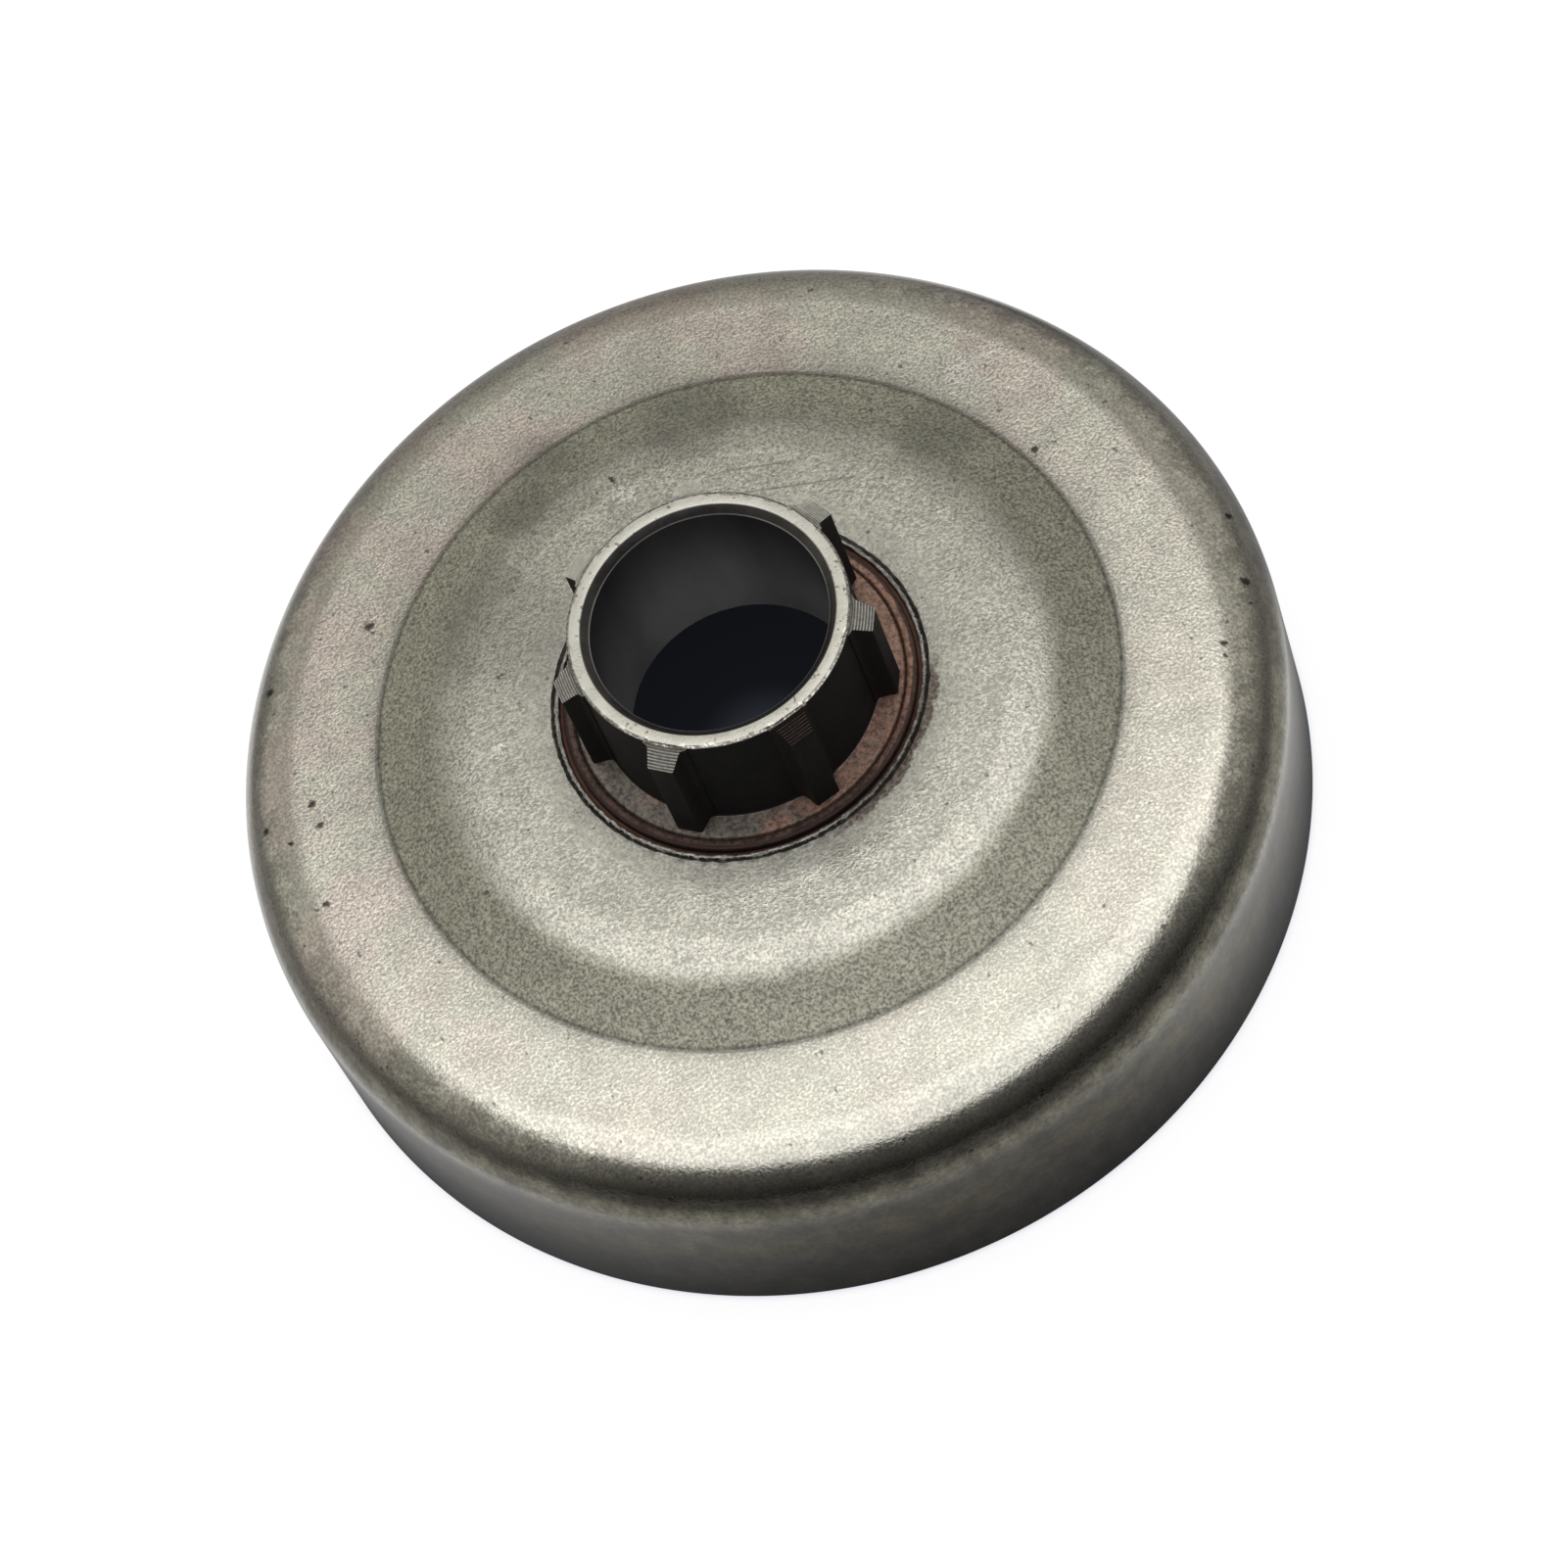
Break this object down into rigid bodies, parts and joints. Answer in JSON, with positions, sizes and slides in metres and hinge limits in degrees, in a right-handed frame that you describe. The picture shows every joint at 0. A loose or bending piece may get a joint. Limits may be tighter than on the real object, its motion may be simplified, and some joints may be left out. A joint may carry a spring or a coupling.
{
  "type": "clutch drum",
  "caption": "Pressed steel clutch drum, a shallow cup with a flat ring and a raised crown, with a splined hub brazed into its centre to carry a needle bearing and a rim sprocket.",
  "frame": {"origin": "on the drum's axis in the plane of the open rim that it stands on", "axes": "+Z along the drum's axis from the rim towards the splined hub; +X and +Y are square to it, and the splines are turned about Z as in the picture"},
  "size_m": [0.072, 0.072, 0.0288],
  "materials": {
    "drum_steel": "grit-blasted pressed steel, satin, smoother on the side wall",
    "hub_steel": "dark oxide from brazing, with a bright turned end face",
    "braze_copper": "dull copper filler"
  },
  "bodies": {
    "root": {"drum_cup": "drum_steel", "spline_hub": "hub_steel", "braze_ring": "braze_copper"}
  },
  "joints": []
}
